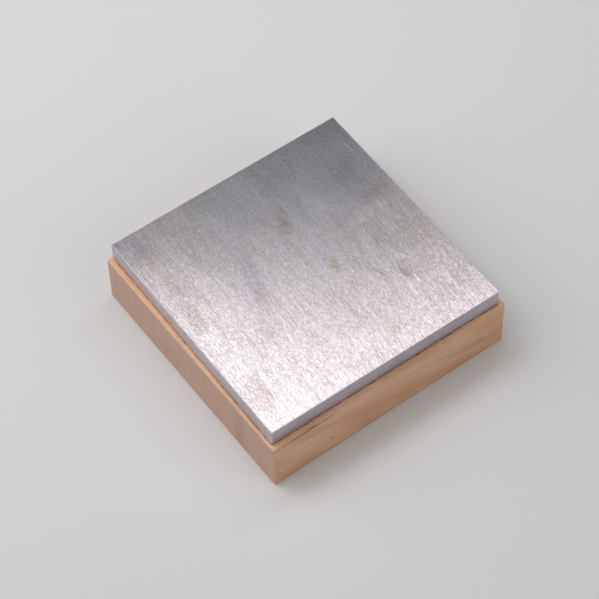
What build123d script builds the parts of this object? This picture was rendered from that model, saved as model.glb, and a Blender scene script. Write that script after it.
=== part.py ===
"""Steel bench block: a ground steel plate bedded and screwed down on a hardwood base.

The underside of the base lies on Z = 0 with its centre on the origin. X and Y run along the
sides of the base, and the grain of the wood runs along Y. The face that is hammered on is
the top of the plate. Sizes are in millimetres and angles in degrees.
"""
import os
from math import radians, tan

from build123d import *

# Steel plate
plate_side = 101.6  # square, 4 in each way
plate_thickness = 8.0
plate_edge_break = 0.3  # small flat along every edge, so that none is sharp
plate_turn = -0.58  # the plate was bedded by hand, a little askew on its base
plate_shift_x = -0.3  # and a little off the middle of it

# Adhesive between the plate and the base
bed_thickness = 0.3
bed_margin = 0.2  # from the flat underside of the plate's rim in to the edge of the film

# Hardwood base
base_ledge = 1.7  # how far the base stands out past each side of the plate
base_height = 22.9
base_edge_ease = 0.5  # rounding of every arris, as left by sandpaper

# Flat head socket screws, from below
screw_inset = 19.0  # from the side of the plate in to the line of the screws
screw_diameter = 4.0
head_diameter = 8.0
head_rim = 0.3  # straight edge of the head under its flat face
head_sink = 2.2  # depth of the head's flat face above the underside of the base
socket_across_flats = 2.5
socket_depth = 1.7
thread_engagement = 4.0  # length of screw that is held in the steel
point_chamfer = 0.4

# Clearances
shank_clearance = 0.25  # around the screw's shank, in the wood and in the adhesive
head_clearance = 0.3  # around the screw's head in its counterbore
thread_clearance = 0.05  # around the thread, drawn as a plain cylinder
thread_run_out = 0.5  # depth of the tapped hole past the end of the screw
drill_point_angle = 118.0

# Worked out from the sizes above
base_side = plate_side + 2 * base_ledge
bed_bottom = base_height
plate_bottom = bed_bottom + bed_thickness
bed_side = plate_side - 2 * (plate_edge_break + bed_margin)
screw_pitch = plate_side - 2 * screw_inset

screw_radius = screw_diameter / 2
head_radius = head_diameter / 2
cone_start = head_sink + head_rim  # the head's 90 degree cone starts here, going up
screw_end = plate_bottom + thread_engagement
shank_hole_radius = screw_radius + shank_clearance
head_hole_radius = head_radius + head_clearance
tapped_hole_radius = screw_radius + thread_clearance
tapped_hole_depth = thread_engagement + thread_run_out
drill_point_height = tapped_hole_radius / tan(radians(drill_point_angle / 2))

standing = (Align.CENTER, Align.CENTER, Align.MIN)


def askew_plane(height):
    """The plane at this height that is turned and shifted with the plate."""
    return Plane((plate_shift_x, 0, height)).rotated((0, 0, plate_turn))


os.makedirs("parts", exist_ok=True)

# Hardwood base: a solid block with its arrises eased, drilled through for four screws
# whose heads sit sunk in counterbores on the underside.
with BuildPart() as wood_base:
    with BuildSketch(Plane.XY) as base_outline:
        Rectangle(base_side, base_side)
    extrude(amount=base_height)
    fillet(wood_base.edges(), radius=base_edge_ease)
    with BuildSketch(Plane.XY) as shank_holes:
        with GridLocations(screw_pitch, screw_pitch, 2, 2):
            Circle(shank_hole_radius)
    extrude(amount=base_height, mode=Mode.SUBTRACT)
    with BuildSketch(Plane.XY) as counterbores:
        with GridLocations(screw_pitch, screw_pitch, 2, 2):
            Circle(head_hole_radius)
    extrude(amount=cone_start - head_clearance, mode=Mode.SUBTRACT)
    with Locations(Plane.XY.offset(cone_start - head_clearance)):
        with GridLocations(screw_pitch, screw_pitch, 2, 2):
            Cone(
                bottom_radius=head_hole_radius,
                top_radius=shank_hole_radius,
                height=head_hole_radius - shank_hole_radius,
                align=standing,
                mode=Mode.SUBTRACT,
            )
wood_base.part.label = "wood_base"
export_step(wood_base.part, "parts/wood_base.step")

# Adhesive bed: a thin film that fills the joint, laid with the plate and open at the screws.
with BuildPart() as adhesive_bed:
    with BuildSketch(askew_plane(bed_bottom)) as bed_outline:
        Rectangle(bed_side, bed_side)
    extrude(amount=bed_thickness)
    with BuildSketch(Plane.XY.offset(bed_bottom)) as bed_holes:
        with GridLocations(screw_pitch, screw_pitch, 2, 2):
            Circle(shank_hole_radius)
    extrude(amount=bed_thickness, mode=Mode.SUBTRACT)
adhesive_bed.part.label = "adhesive_bed"
export_step(adhesive_bed.part, "parts/adhesive_bed.step")

# Steel plate: ground flat, edges broken, with four blind tapped holes in its underside.
with BuildPart() as steel_plate:
    with BuildSketch(askew_plane(plate_bottom)) as plate_outline:
        Rectangle(plate_side, plate_side)
    extrude(amount=plate_thickness)
    chamfer(steel_plate.edges(), length=plate_edge_break)
    with BuildSketch(Plane.XY.offset(plate_bottom)) as tapped_holes:
        with GridLocations(screw_pitch, screw_pitch, 2, 2):
            Circle(tapped_hole_radius)
    extrude(amount=tapped_hole_depth, mode=Mode.SUBTRACT)
    with Locations(Plane.XY.offset(plate_bottom + tapped_hole_depth)):
        with GridLocations(screw_pitch, screw_pitch, 2, 2):
            Cone(
                bottom_radius=tapped_hole_radius,
                top_radius=0,
                height=drill_point_height,
                align=standing,
                mode=Mode.SUBTRACT,
            )
steel_plate.part.label = "steel_plate"
export_step(steel_plate.part, "parts/steel_plate.step")

# Four flat head screws with hexagon sockets, up through the base into the plate.
screw_reach = screw_pitch / 2
screw_places = {
    "screw_front_left": (-screw_reach, -screw_reach),
    "screw_front_right": (screw_reach, -screw_reach),
    "screw_back_left": (-screw_reach, screw_reach),
    "screw_back_right": (screw_reach, screw_reach),
}
for name, (x, y) in screw_places.items():
    with BuildPart() as screw:
        with BuildSketch(Plane((x, y, 0), x_dir=(1, 0, 0), z_dir=(0, -1, 0))) as half_section:
            with BuildLine() as outline:
                Polyline(
                    (0, head_sink),
                    (head_radius, head_sink),
                    (head_radius, cone_start),
                    (screw_radius, cone_start + head_radius - screw_radius),
                    (screw_radius, screw_end - point_chamfer),
                    (screw_radius - point_chamfer, screw_end),
                    (0, screw_end),
                    close=True,
                )
            make_face()
        revolve(axis=Axis((x, y, 0), (0, 0, 1)))
        with BuildSketch(Plane((x, y, head_sink))) as socket:
            RegularPolygon(socket_across_flats / 2, 6, major_radius=False)
        extrude(amount=socket_depth, mode=Mode.SUBTRACT)
    screw.part.label = name
    export_step(screw.part, f"parts/{name}.step")
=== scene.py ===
"""Steel bench block: a ground steel plate bedded and screwed down on a solid beech base."""
import math
import random

import bmesh
import bpy
from mathutils import Matrix, Vector, noise


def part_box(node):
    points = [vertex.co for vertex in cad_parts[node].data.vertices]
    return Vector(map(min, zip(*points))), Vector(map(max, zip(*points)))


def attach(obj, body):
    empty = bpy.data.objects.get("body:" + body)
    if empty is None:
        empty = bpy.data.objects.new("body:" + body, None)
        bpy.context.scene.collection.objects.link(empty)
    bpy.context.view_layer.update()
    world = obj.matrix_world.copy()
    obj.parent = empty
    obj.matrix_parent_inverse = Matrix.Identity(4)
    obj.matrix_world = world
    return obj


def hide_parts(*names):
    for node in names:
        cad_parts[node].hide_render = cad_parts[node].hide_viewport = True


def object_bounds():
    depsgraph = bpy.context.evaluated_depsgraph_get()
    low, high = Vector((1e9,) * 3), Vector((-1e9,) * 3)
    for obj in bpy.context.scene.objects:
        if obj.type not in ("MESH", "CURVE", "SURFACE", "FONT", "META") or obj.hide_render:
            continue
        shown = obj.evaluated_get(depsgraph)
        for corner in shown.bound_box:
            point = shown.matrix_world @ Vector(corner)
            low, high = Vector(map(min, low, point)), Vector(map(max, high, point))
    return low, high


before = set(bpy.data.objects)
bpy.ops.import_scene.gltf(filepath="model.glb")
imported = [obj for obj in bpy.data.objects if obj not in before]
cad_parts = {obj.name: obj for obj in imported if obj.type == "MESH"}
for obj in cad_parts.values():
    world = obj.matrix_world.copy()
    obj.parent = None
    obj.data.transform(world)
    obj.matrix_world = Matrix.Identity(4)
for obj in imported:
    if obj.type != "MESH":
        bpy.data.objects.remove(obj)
cad_low, cad_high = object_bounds()
bpy.context.scene.view_settings.view_transform = "Standard"

# Camera: a long lens that looks steeply down on the plate, over the corner between the front
# and the right side. It is held by hand, so it stands a little out of level.
camera_azimuth = math.radians(54.84)  # round from the front towards the right side
camera_elevation = math.radians(55.07)
camera_roll = math.radians(-1.68)
camera_distance = 0.8746
camera_target = Vector((0.0102, -0.0096, cad_high.z))

toward_camera = Vector(
    (
        math.sin(camera_azimuth) * math.cos(camera_elevation),
        -math.cos(camera_azimuth) * math.cos(camera_elevation),
        math.sin(camera_elevation),
    )
)
camera = bpy.data.objects.new("camera", bpy.data.cameras.new("camera"))
bpy.context.scene.collection.objects.link(camera)
camera.data.lens = 145.2
camera.data.sensor_width = 36.0
camera.data.clip_end = 20.0
level_turn = (-toward_camera).to_track_quat("-Z", "Y").to_matrix().to_4x4()
camera.matrix_world = (
    Matrix.Translation(camera_target + toward_camera * camera_distance)
    @ level_turn
    @ Matrix.Rotation(camera_roll, 4, "Z")
)
bpy.context.scene.camera = camera


# Wooden base: a block sawn from one steamed beech board, grain along Y, so the front and back
# show end grain. Its sides are planed, its arrises eased by sandpaper and since chipped, and it
# is drilled through for four screws with their heads sunk in counterbores underneath.
base_low, base_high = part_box("wood_base")
arris_ease = 0.0005
arris_segments = 3
arris_wear = 0.0001
wear_reach = arris_ease * 1.01  # takes in the whole of the rounding
wear_lump = 0.004
wood_step = 0.0015
same_point = 1e-7  # points nearer than this are one
on_face = 1e-6  # a point nearer than this to a face lies on it
screw_names = ("screw_front_left", "screw_front_right", "screw_back_left", "screw_back_right")
screw_centres = [(sum(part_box(name), Vector()) / 2).to_2d() for name in screw_names]
shank_hole_radius = 0.00225
head_hole_radius = 0.0043
head_cone_depth = 0.0022  # where the counterbore turns into the countersink
hole_mouth = 0.006  # half the square that is opened round a hole
# chips out of the arris on the right: place along Y, half length, depth
chips = (
    (-0.0432, 0.0011, 0.00035),
    (-0.0352, 0.0017, 0.00045),
    (-0.0270, 0.0012, 0.0004),
    (0.0235, 0.0009, 0.0002),
)
chip_reach = 0.0012  # from the arris in to the end of a chip
chip_rag = 0.35  # how far a chip's rim strays from an even one
chip_rag_lump = 0.0004
fine_reach = 0.002  # from the arris in to the end of the finer faces round a chip
fine_margin = 0.0018
fine_cuts = 5


def block(low, high, step):
    """A box from low to high whose faces are cut into squares of about this step."""
    bm = bmesh.new()
    bmesh.ops.create_cube(bm, size=1.0)
    bmesh.ops.scale(bm, vec=high - low, verts=bm.verts)
    bmesh.ops.translate(bm, vec=(low + high) / 2, verts=bm.verts)
    for axis in range(3):
        span = high[axis] - low[axis]
        cuts = max(1, round(span / step))
        normal = Vector((0, 0, 0))
        normal[axis] = 1
        for i in range(1, cuts):
            at = low.copy()
            at[axis] = low[axis] + span * i / cuts
            everything = bm.verts[:] + bm.edges[:] + bm.faces[:]
            bmesh.ops.bisect_plane(bm, geom=everything, dist=same_point, plane_co=at, plane_no=normal)
    return bm


def rounded(bm, low, high, offset, segments):
    """Eases the twelve edges of the box from low to high. One segment leaves a flat."""

    def planes(vert):
        on_low = {(axis, 0) for axis in range(3) if abs(vert.co[axis] - low[axis]) < on_face}
        return on_low | {(axis, 1) for axis in range(3) if abs(vert.co[axis] - high[axis]) < on_face}

    arrises = [e for e in bm.edges if len(planes(e.verts[0]) & planes(e.verts[1])) == 2]
    shape = {"offset": offset, "segments": segments, "profile": 0.5}
    bmesh.ops.bevel(bm, geom=arrises, affect="EDGES", material=-1, **shape)


def rub_arrises(bm, low, high, reach, depth, lump):
    """Wears the arrises unevenly: what is within reach of two sides moves in by up to depth."""
    middle = (low + high) / 2
    for vert in bm.verts:
        gaps = [min(vert.co[axis] - low[axis], high[axis] - vert.co[axis]) for axis in range(3)]
        close = [axis for axis in range(3) if gaps[axis] < reach]
        if len(close) > 1:
            rub = depth * (0.5 + 0.5 * noise.noise(vert.co / lump))
            for axis in close:
                vert.co[axis] += rub if vert.co[axis] < middle[axis] else -rub


def refine(bm, centre, reach, cuts):
    """Cuts the edges near a place into shorter ones. reach is the half size of the place."""
    near = [
        e
        for e in bm.edges
        if all(abs(v.co[axis] - centre[axis]) < reach[axis] for v in e.verts for axis in range(3))
    ]
    bmesh.ops.subdivide_edges(bm, edges=near, cuts=cuts, use_grid_fill=True)
    many_sided = [f for f in bm.faces if len(f.verts) > 4]
    bmesh.ops.triangulate(bm, faces=many_sided, quad_method="BEAUTY", ngon_method="BEAUTY")


def dent(bm, centre, reach, push):
    """Pushes the surface in round a place, most in the middle and raggedly towards the rim."""
    for vert in bm.verts:
        offset = vert.co - centre
        far = Vector((offset.x / reach[0], offset.y / reach[1], offset.z / reach[2])).length
        far += chip_rag * noise.noise(vert.co / chip_rag_lump)
        if far < 1:
            vert.co += push * (1 - far * far)


def opening(bm, centre, height, half_width):
    """Takes out the squares round a centre on a level face, and returns the edges of the hole."""
    inside = [
        f
        for f in bm.faces
        if abs(f.calc_center_median().z - height) < on_face
        and abs(f.calc_center_median().x - centre.x) < half_width
        and abs(f.calc_center_median().y - centre.y) < half_width
    ]
    rim = [e for f in inside for e in f.edges if sum(g in inside for g in e.link_faces) == 1]
    bmesh.ops.delete(bm, geom=inside, context="FACES")
    return rim


def turned(bm, edges, centre, rings):
    """Carries a loop of edges on through level circles of (height, radius) and returns the last."""
    for height, radius in rings:
        made = bmesh.ops.extrude_edge_only(bm, edges=edges)["geom"]
        verts = {item for item in made if isinstance(item, bmesh.types.BMVert)}
        for vert in verts:
            outward = (vert.co.to_2d() - centre).normalized()
            vert.co = Vector((*(centre + outward * radius), height))
        new_edges = [item for item in made if isinstance(item, bmesh.types.BMEdge)]
        edges = [edge for edge in new_edges if verts.issuperset(edge.verts)]
    return edges


def closed(bm, edges, height, tip):
    """Closes a loop with a cone whose tip is at another height."""
    end = bmesh.ops.contextual_create(bm, geom=edges)["faces"]
    point = bmesh.ops.poke(bm, faces=end)["verts"]
    bmesh.ops.translate(bm, vec=(0, 0, tip - height), verts=point)


def drilled_through(bm, centre, low, high, rings):
    """Drills from one level face to another through a list of (height, radius) circles."""
    mouth = [(high, rings[-1][1])]
    turned(bm, opening(bm, centre, high, hole_mouth), centre, mouth)
    turned(bm, opening(bm, centre, low, hole_mouth), centre, [*rings, *mouth])
    bmesh.ops.remove_doubles(bm, verts=bm.verts, dist=same_point)


def finished(bm, name, material, smooth_angle=35.0):
    """Makes an object of a bmesh, shaded smooth save across edges sharper than an angle in degrees."""
    bmesh.ops.recalc_face_normals(bm, faces=bm.faces)
    for face in bm.faces:
        face.smooth = True
    for edge in bm.edges:
        edge.smooth = len(edge.link_faces) != 2 or edge.calc_face_angle(0) < math.radians(smooth_angle)
    mesh = bpy.data.meshes.new(name)
    bm.to_mesh(mesh)
    bm.free()
    mesh.materials.append(material)
    piece = bpy.data.objects.new(name, mesh)
    bpy.context.scene.collection.objects.link(piece)
    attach(piece, "root")
    return piece


def place(tree, kind, inputs=None, **settings):
    """Adds a node. inputs gives each socket, by name or number, a value or another node's socket."""
    node = tree.nodes.new(kind)
    for key, value in settings.items():
        setattr(node, key, value)
    for key, value in (inputs or {}).items():
        if isinstance(value, bpy.types.NodeSocket):
            tree.links.new(value, node.inputs[key])
        else:
            node.inputs[key].default_value = value
    return node


def sums(tree, operation, *values):
    """One Math node's result."""
    return place(tree, "ShaderNodeMath", dict(enumerate(values)), operation=operation).outputs[0]


def vectors(tree, operation, *values):
    """One Vector Math node's results."""
    return place(tree, "ShaderNodeVectorMath", dict(enumerate(values)), operation=operation).outputs


def total(tree, *parts):
    """A sum of sockets, each times a share."""
    whole = sums(tree, "MULTIPLY", *parts[0])
    for socket, share in parts[1:]:
        whole = sums(tree, "MULTIPLY_ADD", socket, share, whole)
    return whole


def spread(tree, value, low, high, to_low=0.0, to_high=1.0):
    """A value carried from one range to another, smoothly, and held at the ends."""
    ends = {"From Min": low, "From Max": high, "To Min": to_low, "To Max": to_high}
    node = place(tree, "ShaderNodeMapRange", {"Value": value, **ends}, interpolation_type="SMOOTHSTEP")
    return node.outputs["Result"]


def blended(tree, share, first, second, kind="MIX"):
    """Two colours mixed by a share."""
    settings = {"data_type": "RGBA", "blend_type": kind}
    return place(tree, "ShaderNodeMix", {0: share, 6: first, 7: second}, **settings).outputs[2]


def cloudy(tree, point, size, detail=2.0, roughness=0.5, turn=(0, 0, 0)):
    """Noise whose lumps have this size in millimetres each way, turned by angles in degrees."""
    angles = tuple(math.radians(angle) for angle in turn)
    placing = {"Vector": point, "Scale": size, "Rotation": angles}
    mapped = place(tree, "ShaderNodeMapping", placing, vector_type="TEXTURE").outputs[0]
    settings = {"Vector": mapped, "Scale": 1.0, "Detail": detail, "Roughness": roughness}
    return place(tree, "ShaderNodeTexNoise", settings).outputs["Fac"]


def new_group(name, inputs, outputs):
    """An empty shader node group. Each input and output is a name and a socket type."""
    group = bpy.data.node_groups.new(name, "ShaderNodeTree")
    for label, kind in inputs.items():
        group.interface.new_socket(label, in_out="INPUT", socket_type="NodeSocket" + kind)
    for label, kind in outputs.items():
        group.interface.new_socket(label, in_out="OUTPUT", socket_type="NodeSocket" + kind)
    return group, group.nodes.new("NodeGroupInput").outputs, group.nodes.new("NodeGroupOutput").inputs


def grouped(tree, group, **inputs):
    """Places a node group and returns its first output."""
    values = {label.replace("_", " "): value for label, value in inputs.items()}
    return place(tree, "ShaderNodeGroup", values, node_tree=group).outputs[0]


def new_material(name, **constants):
    """A material with a Principled shader, whose constants go straight on its sockets."""
    material = bpy.data.materials.new(name)
    material.use_nodes = True
    shader = material.node_tree.nodes["Principled BSDF"]
    for label, value in constants.items():
        shader.inputs[label.replace("_", " ")].default_value = value
    return material, material.node_tree, shader


def wired(tree, shader, height, distance, **sockets):
    """Links what changes over the surface to the shader, with height times distance as its relief."""
    bump = place(tree, "ShaderNodeBump", {"Height": height, "Distance": distance})
    tree.links.new(bump.outputs[0], shader.inputs["Normal"])
    for label, socket in sockets.items():
        tree.links.new(socket, shader.inputs[label.replace("_", " ")])


def millimetres(tree, centre=Vector((0, 0, 0)), turn=0.0):
    """Object coordinates in millimetres, measured from a centre that is turned about Z."""
    placing = {
        "Vector": place(tree, "ShaderNodeTexCoord").outputs["Object"],
        "Location": centre,
        "Rotation": (0, 0, turn),
        "Scale": (0.001, 0.001, 0.001),
    }
    return place(tree, "ShaderNodeMapping", placing, vector_type="TEXTURE").outputs[0]


def facing(tree, axis):
    """How squarely the surface faces along an axis, from -1 to 1."""
    normal = place(tree, "ShaderNodeNewGeometry").outputs["Normal"]
    return place(tree, "ShaderNodeSeparateXYZ", {"Vector": normal}).outputs[axis]


# A mark with a soft, uneven edge: 1 in its middle and 0 outside. Sizes are in millimetres.
mark, asked, given = new_group(
    "mark",
    {
        "Point": "Vector",
        "Centre": "Vector",
        "Half Size": "Vector",
        "Turn": "Vector",
        "Unevenness": "Float",
    },
    {"Mask": "Float"},
)
placing = {
    "Vector": asked["Point"],
    "Location": asked["Centre"],
    "Rotation": asked["Turn"],
    "Scale": asked["Half Size"],
}
offset = place(mark, "ShaderNodeMapping", placing, vector_type="TEXTURE").outputs[0]
distance = vectors(mark, "LENGTH", offset)["Value"]
ragged = cloudy(mark, asked["Point"], (4.0, 2.8, 4.0), detail=5.0, roughness=0.6)
ragged = sums(mark, "SUBTRACT", ragged, 0.5)
distance = sums(mark, "MULTIPLY_ADD", ragged, asked["Unevenness"], distance)
mark.links.new(spread(mark, distance, 1.15, 0.35), given["Mask"])

# Nearness to an arris of a box: 1 on it and 0 further away than the width, which wanders.
arris, asked, given = new_group(
    "arris",
    {"Point": "Vector", "Half Box": "Vector", "Width": "Float"},
    {"Mask": "Float"},
)
outward = vectors(arris, "ABSOLUTE", asked["Point"])[0]
inward = vectors(arris, "SUBTRACT", asked["Half Box"], outward)[0]
gaps = place(arris, "ShaderNodeSeparateXYZ", {"Vector": inward}).outputs
nearer = sums(arris, "MINIMUM", gaps[0], gaps[1])
further = sums(arris, "MAXIMUM", gaps[0], gaps[1])
second = sums(arris, "MINIMUM", further, sums(arris, "MAXIMUM", nearer, gaps[2]))
wander = spread(arris, cloudy(arris, asked["Point"], (2.5, 2.5, 2.5), detail=3.0), 0.25, 0.75, 0.3, 1.0)
reach = sums(arris, "MULTIPLY", wander, asked["Width"])
arris.links.new(spread(arris, sums(arris, "DIVIDE", second, reach), 1.0, 0.3), given["Mask"])

# Beech's colours, and what its rings and darker marks need. Lengths are in millimetres.
beech_light = (0.70, 0.435, 0.28, 1)
beech_dark = (0.55, 0.295, 0.163, 1)
beech_end_light = (0.58, 0.375, 0.295, 1)
beech_end_dark = (0.50, 0.295, 0.225, 1)
beech_top_painted_light = (1.20, 1.18, 1.16, 1)
beech_darkened = (0.22, 0.10, 0.05, 1)
beech_rubbed = (0.86, 0.60, 0.42, 1)
beech_right_arris_dark = (0.50, 0.24, 0.11, 1)
beech_relief = 0.00002  # in metres
beech_dullness = 0.42
pith_aside = 70.0  # from the middle of the base to the middle of the tree
pith_below = 95.0
ring_width = 3.1
ring_wander = 12.0
fleck_share = 0.22
rubbed_width = 1.1
rubbed_share = 0.35
right_arris_dark_share = 0.45

wood_material, tree, shader = new_material("beech", Specular_IOR_Level=0.35)
base_middle = (base_low + base_high) / 2
point = millimetres(tree, base_middle)
# growth rings round a pith far below and to the left, a faint ripple in the tone
split = place(tree, "ShaderNodeSeparateXYZ", {"Vector": point}).outputs
drift = cloudy(tree, point, (30, 160, 25), detail=1.0)
aside = sums(tree, "ADD", split["X"], pith_aside)
above = sums(tree, "ADD", split["Z"], pith_below)
from_pith = place(tree, "ShaderNodeCombineXYZ", {"X": aside, "Y": 0.0, "Z": above}).outputs[0]
pith_distance = vectors(tree, "LENGTH", from_pith)["Value"]
ring_place = sums(tree, "MULTIPLY_ADD", drift, ring_wander, pith_distance)
in_ring = sums(tree, "FRACT", sums(tree, "DIVIDE", ring_place, ring_width))
late_wood = spread(tree, in_ring, 0.4, 0.95)
# fibres and rays that run along the grain, and broad slanting bands of paler and darker wood
fibre = cloudy(tree, point, (0.30, 9.0, 0.30), detail=3.0, roughness=0.6)
band = cloudy(tree, point, (9, 34, 7), detail=2.0, turn=(-13, 0, 4))
side_tone = total(tree, (band, 1.05), (fibre, 0.35), (late_wood, 0.10), (split["Z"], -0.012))
side_colour = blended(tree, spread(tree, side_tone, 0.33, 1.10), beech_light, beech_dark)
ray_fleck = spread(tree, cloudy(tree, point, (0.35, 1.1, 5.0), detail=1.0), 0.60, 0.75)
side_colour = blended(tree, sums(tree, "MULTIPLY", ray_fleck, fleck_share), side_colour, beech_dark)
# on the ends the rays show as fine upright lines
ray_line = cloudy(tree, point, (0.45, 60.0, 22.0), detail=3.0, roughness=0.7)
patch = cloudy(tree, point, (7.0, 60.0, 12.0), detail=3.0)
end_tone = total(tree, (ray_line, 0.6), (patch, 0.5), (late_wood, 0.08))
end_colour = blended(tree, spread(tree, end_tone, 0.35, 0.95), beech_end_light, beech_end_dark)
across_grain = spread(tree, sums(tree, "ABSOLUTE", facing(tree, "Y")), 0.5, 0.85)
colour = blended(tree, across_grain, side_colour, end_colour)
# upward faces are painted lighter: painted light on the top of the base and its ledge
upward_for_painted_light = spread(tree, facing(tree, "Z"), 0.5, 0.85)
colour = blended(tree, upward_for_painted_light, colour, beech_top_painted_light, "MULTIPLY")
# darker marks along the arris on the right, at its chips, and on the right and front: centre, half
# size, strength
darker_places = (
    ((52.5, -38.5, 10.8), (0.9, 14.0, 0.55), 0.85),
    ((52.5, -26.7, -4.0), (1.0, 0.9, 0.6), 0.75),
    ((52.5, 10.0, 11.0), (0.8, 20.0, 0.4), 0.45),
    ((52.5, 23.5, 5.5), (1.0, 0.7, 0.5), 0.5),
    ((31.0, -52.5, 0.0), (4.0, 2.0, 16.0), 0.18),
    ((-12.0, -52.5, -3.0), (9.0, 2.0, 5.0), 0.12),
)
for centre, half_size, strength in darker_places:
    darker_mark = grouped(tree, mark, Point=point, Centre=centre, Half_Size=half_size, Unevenness=1.1)
    colour = blended(tree, sums(tree, "MULTIPLY", darker_mark, strength), colour, beech_darkened)
# every arris is rubbed paler, and the arrises on the right are made darker
half_box = (base_high - base_low) * 500  # in millimetres
rubbed = grouped(tree, arris, Point=point, Half_Box=half_box, Width=rubbed_width)
right_arris_dark = sums(tree, "MULTIPLY", rubbed, spread(tree, split["X"], 49.0, 51.5))
colour = blended(tree, sums(tree, "MULTIPLY", rubbed, rubbed_share), colour, beech_rubbed)
colour = blended(tree, sums(tree, "MULTIPLY", right_arris_dark, right_arris_dark_share), colour, beech_right_arris_dark)
wood_dullness = total(tree, (fibre, 0.16), (rubbed, -0.08), (band, 0.08))
wood_dullness = sums(tree, "ADD", wood_dullness, beech_dullness)
wood_relief = total(tree, (fibre, 0.7), (late_wood, 0.3))
wired(tree, shader, wood_relief, beech_relief, Base_Color=colour, Roughness=wood_dullness)

bm = block(base_low, base_high, wood_step)
hole_rings = (
    (base_low.z, head_hole_radius),
    (head_cone_depth, head_hole_radius),
    (head_cone_depth + head_hole_radius - shank_hole_radius, shank_hole_radius),
)
for centre in screw_centres:
    drilled_through(bm, centre, base_low.z, base_high.z, hole_rings)
rounded(bm, base_low, base_high, arris_ease, arris_segments)
for along, half_length, depth in chips:
    chip = Vector((base_high.x, along, base_high.z))
    refine(bm, chip, (fine_reach, half_length + fine_margin, fine_reach), fine_cuts)
    dent(bm, chip, (chip_reach, half_length, chip_reach), Vector((-depth, 0, -depth)))
rub_arrises(bm, base_low, base_high, wear_reach, arris_wear, wear_lump)
base = finished(bm, "beech_base", wood_material)
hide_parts("wood_base")


# Adhesive: a thin film of dark contact adhesive that beds the plate, brushed on by hand, so it
# squeezes out unevenly round the plate's foot. It is open at the four screws.
bed_low, bed_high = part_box("adhesive_bed")
squeeze_least = 0.0001
squeeze_most = 0.0008
squeeze_lump = 0.0025
squeeze_upper = 0.6  # how much of that the film's upper edge stands out
glue_step = 0.0012
plate_turn = math.radians(-0.58)
glue_dark = (0.040, 0.018, 0.011, 1)
glue_pale = (0.19, 0.085, 0.042, 1)
glue_relief = 0.00005


def turned_square(low, high, turn):
    """The middle and the half size of a square block, from the box that it has when turned."""
    middle = (low + high) / 2
    reach = (high - low) / 2
    side = reach.x / (math.cos(turn) + abs(math.sin(turn)))
    return middle, Vector((side, side, reach.z))


glue_material, tree, shader = new_material("contact_adhesive", Specular_IOR_Level=0.4)
point = millimetres(tree)
lumps = cloudy(tree, point, (1.3, 1.3, 1.3), detail=3.0)
glue_colour = blended(tree, spread(tree, lumps, 0.3, 0.7), glue_dark, glue_pale)
glue_dullness = spread(tree, lumps, 0.3, 0.7, 0.45, 0.75)
wired(tree, shader, lumps, glue_relief, Base_Color=glue_colour, Roughness=glue_dullness)

middle, half = turned_square(bed_low, bed_high, plate_turn)
placed = Matrix.Translation(middle) @ Matrix.Rotation(plate_turn, 4, "Z")
bm = block(-half, half, glue_step)
for vert in bm.verts:
    for axis in (0, 1):
        if abs(abs(vert.co[axis]) - half[axis]) < same_point:
            lump = 0.5 + 0.5 * noise.fractal(vert.co / squeeze_lump, 1.0, 2.0, 3)
            out = squeeze_least + (squeeze_most - squeeze_least) * min(1, max(0, lump))
            share = squeeze_upper if vert.co.z > 0 else 1.0
            vert.co[axis] += math.copysign(out * share, vert.co[axis])
bmesh.ops.transform(bm, matrix=placed, verts=bm.verts)
for centre in screw_centres:
    drilled_through(bm, centre, bed_low.z, bed_high.z, [(bed_low.z, shank_hole_radius)])
glue = finished(bm, "adhesive_film", glue_material)
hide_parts("adhesive_bed")


# Steel plate: tool steel ground flat on both faces, its edges broken with a stone, bedded a little
# askew. The top carries short grinding marks, dull oxide and oil marks, painted shade towards the left
# and the back of the top and on its right side, a painted highlight towards the front, and the print of
# a hammer's edge. Four blind holes underneath are tapped for the screws.
plate_low, plate_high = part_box("steel_plate")
plate_edge_break = 0.0003
plate_step = 0.002
tapped_hole_radius = 0.00205
tapped_hole_depth = 0.0045
drill_tip = 0.0012

# The steel's colours, the tints that oxide and oil give it, the tints of its painted shade and painted
# highlight, and what its marks need
steel_dark = (0.345, 0.304, 0.321, 1)
steel_light = (0.85, 0.752, 0.792, 1)
steel_side = (0.90, 0.99, 1.05, 1)
steel_right_side_painted_shade = (0.82, 0.89, 0.97, 1)
painted_shade_tint = (0.80, 0.87, 0.88, 1)
olive = (0.74, 0.72, 0.58, 1)
brown = (0.80, 0.70, 0.64, 1)
rose = (0.84, 0.77, 0.75, 1)
dark_mark_and_painted_shade = (0.76, 0.77, 0.82, 1)
dull = (0.78, 0.77, 0.75, 1)
pale_mark_and_painted_highlight = (1.16, 1.16, 1.15, 1)
painted_highlight_tint = (1.02, 1.06, 1.03, 1)
scratch = (1.7, 1.7, 1.7, 1)
thin_scratch = (1.6, 1.6, 1.6, 1)
faint_scratch = (1.4, 1.4, 1.4, 1)
steel_relief_depth = 0.000007
waver = 0.9  # how far the grinding marks stray, in millimetres
grain_middle = 1.65  # what the parts of the grain add up to on average
grain_under_painted_shade = 0.60  # how much of the grain the full painted shade hides
grain_on_sides = 0.25
middle_tone = 0.36
warm_share = 0.35
bare_share = 0.5
bare_width = 0.7  # in millimetres
stain_dullness = 0.04
least_dullness = 0.225
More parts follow.
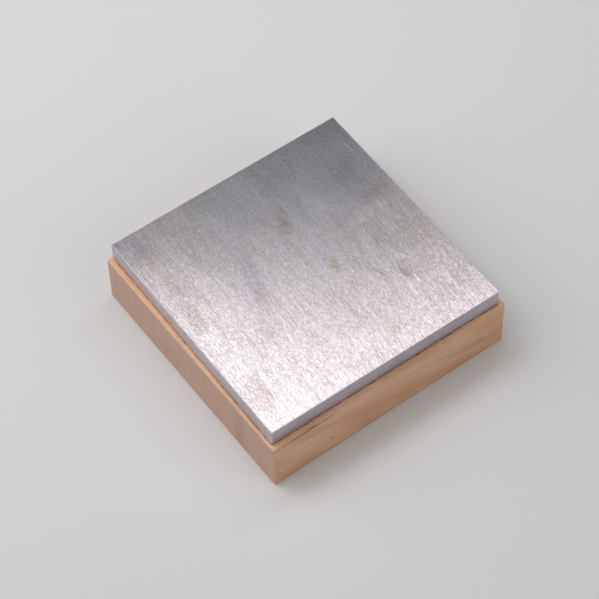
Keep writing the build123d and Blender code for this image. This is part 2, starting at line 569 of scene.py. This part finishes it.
# marks on the plate in millimetres: centre, half size, turn in degrees, tint, how uneven, how strong
plate_marks = (
    # the first two marks darken the back left and the left corner of the top: painted shade
    ((-36, 34), (27, 36), 0, dark_mark_and_painted_shade, 0.5, 0.7),
    ((-47, -47), (12, 10), 0, dark_mark_and_painted_shade, 0.6, 1.0),
    ((-6, 33), (3.0, 15), 5, pale_mark_and_painted_highlight, 1.0, 0.6),
    # the next two marks lighten the front of the top, and the second also tints its front right corner:
    # painted highlight
    ((-16, -44), (34, 20), 0, pale_mark_and_painted_highlight, 0.5, 0.8),
    ((32, -44), (40, 22), 0, painted_highlight_tint, 0.5, 1.0),
    ((11, 41), (8, 9), -20, olive, 0.9, 0.45),
    ((-12, 41), (4, 7), 10, brown, 0.9, 0.4),
    ((-23.5, 7.5), (6, 3), -10, olive, 1.0, 0.7),
    ((-18, 5), (4.5, 4), 0, dull, 1.0, 0.7),
    ((5.6, 10.2), (4.6, 2.3), -12, olive, 1.0, 0.9),
    ((21.0, 30.2), (7.5, 2.6), -8, olive, 0.6, 0.6),
    ((-3, -19), (18, 4), -18, dark_mark_and_painted_shade, 0.8, 0.5),
    ((-32, -9), (20, 6), -18, dark_mark_and_painted_shade, 0.9, 0.25),
    ((-19, -11), (5, 2.5), 0, rose, 0.9, 0.5),
    ((14, -26.5), (6.5, 4.2), 15, brown, 0.9, 0.45),
    ((41, 10), (2.6, 4.0), 30, olive, 1.0, 0.5),
    ((-37, -43.5), (8, 4.6), 0, olive, 1.0, 0.5),
    ((-21.5, -42.5), (8.5, 4.8), 0, brown, 1.0, 0.45),
    ((-11, -45), (5.5, 3.6), 20, brown, 0.9, 0.5),
    ((-3, -44.5), (5.5, 3.8), -20, olive, 0.9, 0.45),
    ((35.7, -44.6), (11, 4.8), -10, rose, 0.8, 0.8),
    ((-44.7, 23.4), (1.0, 0.8), 0, brown, 0.8, 0.9),
    ((-18.3, -9.1), (1.8, 0.35), 0, dark_mark_and_painted_shade, 0.3, 0.9),
    ((-3.6, 12.7), (8.0, 0.22), 5, dark_mark_and_painted_shade, 0.3, 0.9),
    ((-3.6, 13.9), (7.0, 0.22), 5, dark_mark_and_painted_shade, 0.3, 0.7),
    ((28.4, 30.6), (3.2, 0.4), 0, scratch, 0.5, 1.0),
    ((32.0, 26.2), (3.6, 0.3), -3, thin_scratch, 0.6, 1.0),
    ((-35.6, 46.7), (4.0, 0.3), 4, faint_scratch, 0.4, 1.0),
)

middle, half = turned_square(plate_low, plate_high, plate_turn)
placed = Matrix.Translation(middle) @ Matrix.Rotation(plate_turn, 4, "Z")

steel_material, tree, shader = new_material("ground_steel", Metallic=1.0)
point = millimetres(tree, middle, plate_turn)
# the grinding marks waver, so the point that they are read at is pushed about a little
sway = cloudy(tree, point, (8, 26, 26), detail=2.0)
push = place(tree, "ShaderNodeCombineXYZ", {"Y": sums(tree, "MULTIPLY", sway, waver)}).outputs[0]
swayed = vectors(tree, "ADD", point, push)[0]
stroke = cloudy(tree, swayed, (2.0, 0.36, 0.36), detail=3.0, roughness=0.70, turn=(0, 0, -4))
cross_stroke = cloudy(tree, swayed, (1.2, 0.42, 0.42), detail=2.0, turn=(0, 0, 14))
streak = cloudy(tree, swayed, (11, 1.1, 1.1), detail=2.0, turn=(0, 0, -4))
haze = cloudy(tree, point, (22, 8, 8), detail=5.0, roughness=0.7)
speckle = cloudy(tree, point, (0.42, 0.36, 0.36), detail=2.0)
upright = spread(tree, sums(tree, "ABSOLUTE", facing(tree, "Z")), 0.7, 0.3)
# painted shade: towards the left and the back the top is painted darker and its marks softer
painted_shade_place = {"Centre": (-62, 28, 4), "Half_Size": (100, 100, 9)}
painted_shade = grouped(tree, mark, Point=point, Unevenness=0.3, **painted_shade_place)
glint = spread(tree, stroke, 0.45, 0.75)
cross_glint = spread(tree, cross_stroke, 0.50, 0.78)
grain = total(tree, (glint, 0.60), (cross_glint, 0.45), (stroke, 0.70), (speckle, 1.60), (streak, 0.60))
grain = sums(tree, "SUBTRACT", grain, grain_middle)
grain_through_painted_shade = sums(tree, "MULTIPLY_ADD", painted_shade, -grain_under_painted_shade, 1.0)
grain = sums(tree, "MULTIPLY", grain, grain_through_painted_shade)
grain = sums(tree, "MULTIPLY", grain, spread(tree, upright, 0.0, 1.0, 1.0, grain_on_sides))
bright = total(tree, (grain, 1.35), (haze, 0.45))
steel_colour = blended(tree, sums(tree, "ADD", bright, middle_tone), steel_dark, steel_light)
warm = spread(tree, cloudy(tree, point, (10, 6, 6), detail=4.0, roughness=0.7), 0.52, 0.72)
steel_colour = blended(tree, sums(tree, "MULTIPLY", warm, warm_share), steel_colour, brown, "MULTIPLY")
painted_shade_on_top = sums(tree, "MULTIPLY", painted_shade, sums(tree, "SUBTRACT", 1.0, upright))
steel_colour = blended(tree, painted_shade_on_top, steel_colour, painted_shade_tint, "MULTIPLY")
dullness = total(tree, (haze, 0.10), (stroke, 0.05))
for centre, half_size, turn, tint, uneven, strength in plate_marks:
    sizes = {"Centre": (*centre, half.z * 1000), "Half_Size": (*half_size, 3.0)}
    mask = grouped(tree, mark, Point=point, Turn=(0, 0, math.radians(turn)), Unevenness=uneven, **sizes)
    mask = sums(tree, "MULTIPLY", mask, strength)
    steel_colour = blended(tree, mask, steel_colour, tint, "MULTIPLY")
    dullness = sums(tree, "MULTIPLY_ADD", mask, stain_dullness if tint[0] < 1 else 0.0, dullness)
# the sides get a cool tint, and the right side a darker one: painted shade
side_tint_and_painted_shade = blended(tree, spread(tree, facing(tree, "X"), 0.5, 0.9), steel_side, steel_right_side_painted_shade)
steel_colour = blended(tree, upright, steel_colour, side_tint_and_painted_shade, "MULTIPLY")
bare = grouped(tree, arris, Point=point, Half_Box=half * 1000, Width=bare_width)
steel_colour = blended(tree, sums(tree, "MULTIPLY", bare, bare_share), steel_colour, steel_light)
dullness = total(tree, (dullness, 1.0), (upright, 0.10), (bare, 0.10))
dullness = sums(tree, "ADD", dullness, least_dullness)
steel_relief = total(tree, (stroke, 0.7), (cross_stroke, 0.25), (speckle, 0.1))
wired(tree, shader, steel_relief, steel_relief_depth, Base_Color=steel_colour, Roughness=dullness)

bm = block(-half, half, plate_step)
rounded(bm, -half, half, plate_edge_break, 1)


def strike(bm, centre, radius, heading, sweep, depth):
    """The print of a hammer's edge: a curved step down, which fades out inside the curve."""
    wall = 0.0005
    fade = 0.0042
    for vert in bm.verts:
        across = vert.co.to_2d() - centre
        inward = radius - across.length
        aside = abs(math.degrees(math.atan2(across.y, across.x)) - heading) / sweep
        if abs(vert.co.z - half.z) < same_point and 0 < inward < wall + fade and aside < 1:
            drop = min(inward / wall, 1 - (inward - wall) / fade)
            vert.co.z -= depth * drop * (1 - aside * aside)


# strikes: centre of the curve, its radius, its heading and half sweep in degrees, depth
strikes = (
    (Vector((0.0250, 0.0450)), 0.0175, -107.0, 20.0, 0.00010),
    (Vector((0.0140, 0.0380)), 0.0176, -75.0, 19.0, 0.000025),
)
struck_middle = Vector((0.0195, 0.0270, half.z))
struck_reach = (0.0095, 0.0100, 0.0001)
struck_cuts = 7
refine(bm, struck_middle, struck_reach, struck_cuts)
for centre, radius, heading, sweep, depth in strikes:
    strike(bm, centre, radius, heading, sweep, depth)
bmesh.ops.transform(bm, matrix=placed, verts=bm.verts)
for centre in screw_centres:
    mouth = opening(bm, centre, plate_low.z, hole_mouth)
    hole_end = plate_low.z + tapped_hole_depth
    hole_rings = ((plate_low.z, tapped_hole_radius), (hole_end, tapped_hole_radius))
    end = turned(bm, mouth, centre, hole_rings)
    closed(bm, end, hole_end, hole_end + drill_tip)
plate = finished(bm, "ground_plate", steel_material, smooth_angle=14.0)
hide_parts("steel_plate")


# Screws: four zinc plated M4 flat head screws with hexagon sockets, threaded up to the head.
# They pass up through the base and the film, and hold in the plate's tapped holes.
screw_low, screw_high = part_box(screw_names[0])
head_radius = 0.004
head_rim = 0.0003
head_break = 0.0001
screw_radius = 0.002
thread_root = 0.00157
thread_pitch = 0.0007
steps_per_turn = 24
point_chamfer = 0.0004
socket_across_flats = 0.0025
socket_depth = 0.0017
weld = 1e-6  # points of the thread nearer than this are one
zinc_dark = (0.56, 0.58, 0.62, 1)
zinc_pale = (0.74, 0.74, 0.74, 1)
zinc_grime = (0.30, 0.26, 0.21, 1)
zinc_relief = 0.00001

zinc_material, tree, shader = new_material("zinc_plate", Metallic=1.0)
point = millimetres(tree)
spangle = cloudy(tree, point, (0.7, 0.7, 0.7), detail=3.0)
grime = cloudy(tree, point, (1.8, 1.8, 1.8), detail=4.0, roughness=0.65)
zinc_colour = blended(tree, spangle, zinc_dark, zinc_pale)
zinc_colour = blended(tree, spread(tree, grime, 0.50, 0.72), zinc_colour, zinc_grime)
zinc_dullness = spread(tree, total(tree, (spangle, 0.5), (grime, 0.6)), 0.3, 0.8, 0.24, 0.52)
wired(tree, shader, spangle, zinc_relief, Base_Color=zinc_colour, Roughness=zinc_dullness)


def level_rim(bm, height):
    """The open edges that lie at a height."""
    open_edges = [e for e in bm.edges if e.is_boundary]
    return [e for e in open_edges if all(abs(v.co.z - height) < same_point for v in e.verts)]


def socket_screw():
    """A screw that stands on the origin, its head down, at its height in the base."""
    middle = Vector((0, 0))
    cone_start = screw_low.z + head_rim
    cone_end = cone_start + head_radius - screw_radius
    thread_start = cone_end + head_break
    bm = bmesh.new()
    # thread: one pitch of its profile, each point a share of the pitch and a radius, is wound up
    # the shank and then cut off level at both ends
    profile = (
        (0.0, thread_root),
        (0.1, thread_root),
        (0.44, screw_radius),
        (0.56, screw_radius),
        (0.9, thread_root),
        (1.0, thread_root),
    )
    start = thread_start - 2 * thread_pitch
    verts = [bm.verts.new((radius, 0, start + share * thread_pitch)) for share, radius in profile]
    edges = [bm.edges.new(pair) for pair in zip(verts, verts[1:])]
    turns = math.ceil((screw_high.z - start) / thread_pitch) + 1
    bmesh.ops.spin(
        bm,
        geom=verts + edges,
        cent=(0, 0, 0),
        axis=(0, 0, 1),
        dvec=(0, 0, thread_pitch / steps_per_turn),
        angle=2 * math.pi * turns,
        steps=steps_per_turn * turns,
    )
    bmesh.ops.remove_doubles(bm, verts=bm.verts, dist=weld)
    for height, normal in ((thread_start, (0, 0, -1)), (screw_high.z, (0, 0, 1))):
        everything = bm.verts[:] + bm.edges[:] + bm.faces[:]
        level = {"plane_co": (0, 0, height), "plane_no": normal}
        bmesh.ops.bisect_plane(bm, geom=everything, dist=weld, clear_outer=True, **level)
    for vert in bm.verts:
        most = screw_radius - max(0, vert.co.z - (screw_high.z - point_chamfer))
        across = vert.co.to_2d().length
        if across > most:
            vert.co.x *= most / across
            vert.co.y *= most / across
    bmesh.ops.contextual_create(bm, geom=level_rim(bm, screw_high.z))
    # head: from the thread down the cone and round the rim to its flat face, then the socket
    thread_end = level_rim(bm, thread_start)
    neck = turned(bm, thread_end, middle, [(cone_end, screw_radius)])
    head_rings = (
        (cone_start, head_radius),
        (screw_low.z + head_break, head_radius),
        (screw_low.z, head_radius - head_break),
    )
    face = turned(bm, neck, middle, head_rings)
    corner = socket_across_flats / 2 / math.cos(math.pi / 6)
    socket_rings = (
        (screw_low.z, corner + head_break),
        (screw_low.z + head_break, corner),
        (screw_low.z + socket_depth, corner),
    )
    for height, radius in socket_rings:
        face = turned(bm, face, middle, [(height, radius)])
        # each circle is pulled in to the hexagon that fits inside it
        for vert in {vert for edge in face for vert in edge.verts}:
            from_flat = math.atan2(vert.co.y, vert.co.x) % (math.pi / 3) - math.pi / 6
            inward = math.cos(math.pi / 6) / math.cos(from_flat)
            vert.co.x *= inward
            vert.co.y *= inward
    socket_end = screw_low.z + socket_depth
    closed(bm, face, socket_end, socket_end + corner / 3)
    return bm


chance = random.Random(4)
for name, centre in zip(screw_names, screw_centres):
    bm = socket_screw()
    driven = Matrix.Rotation(chance.uniform(0, 2 * math.pi), 4, "Z")
    bmesh.ops.transform(bm, matrix=Matrix.Translation((*centre, 0)) @ driven, verts=bm.verts)
    screw = finished(bm, "socket_" + name, zinc_material, smooth_angle=30.0)
    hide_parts(name)


# Studio: a pale floor, two soft panels overhead to the left and behind, a broad key panel from
# the front left and a broad fill from the right, both dim enough not to glare in the ground
# steel, under a pale sky that is screened off at the back left.
floor_radius = 3.0
floor_pale = (0.72, 0.72, 0.72, 1)
floor_material = new_material("pale_floor", Base_Color=floor_pale, Roughness=0.9)[0]
bm = bmesh.new()
bmesh.ops.create_circle(bm, cap_ends=True, segments=96, radius=floor_radius)
mesh = bpy.data.meshes.new("floor")
bm.to_mesh(mesh)
bm.free()
mesh.materials.append(floor_material)
floor = bpy.data.objects.new("floor", mesh)
bpy.context.scene.collection.objects.link(floor)


def softbox(name, centre, aim, width, depth, strength):
    """A flat panel that lights evenly. strength is its radiance."""
    light = bpy.data.lights.new(name, "AREA")
    light.shape = "RECTANGLE"
    light.size = width
    light.size_y = depth
    light.energy = strength * math.pi * width * depth
    lamp = bpy.data.objects.new(name, light)
    bpy.context.scene.collection.objects.link(lamp)
    lamp.location = centre
    lamp.rotation_euler = (Vector(aim) - Vector(centre)).to_track_quat("-Z", "Y").to_euler()
    lamp.visible_camera = False


softbox("front_overhead_panel", (-0.20, -0.05, 0.55), (-0.20, -0.05, 0.0), 0.20, 0.50, 2.80)
softbox("back_overhead_panel", (-0.15, 0.325, 0.55), (-0.15, 0.325, 0.0), 0.10, 0.25, 4.2)
softbox("key_panel", (-0.55, -0.65, 0.95), (0, 0, 0), 1.5, 1.5, 1.25)
softbox("right_panel", (1.0, 0.40, 0.55), (0, 0, 0), 0.9, 0.9, 1.0)

sky_pale = 0.35
sky_dark = 0.0
screen_direction = Vector((-0.72, 0.42, 0.55)).normalized()
screen_edge = math.cos(math.radians(55))  # from here in the screen shades the sky
screen_full = math.cos(math.radians(22))  # and from here in it hides it
world = bpy.data.worlds.new("studio")
bpy.context.scene.world = world
world.use_nodes = True
tree = world.node_tree
direction = place(tree, "ShaderNodeTexCoord").outputs["Generated"]
squareness = vectors(tree, "DOT_PRODUCT", direction, screen_direction)["Value"]
sky = spread(tree, squareness, screen_edge, screen_full, sky_pale, sky_dark)
tree.links.new(sky, tree.nodes["Background"].inputs["Color"])
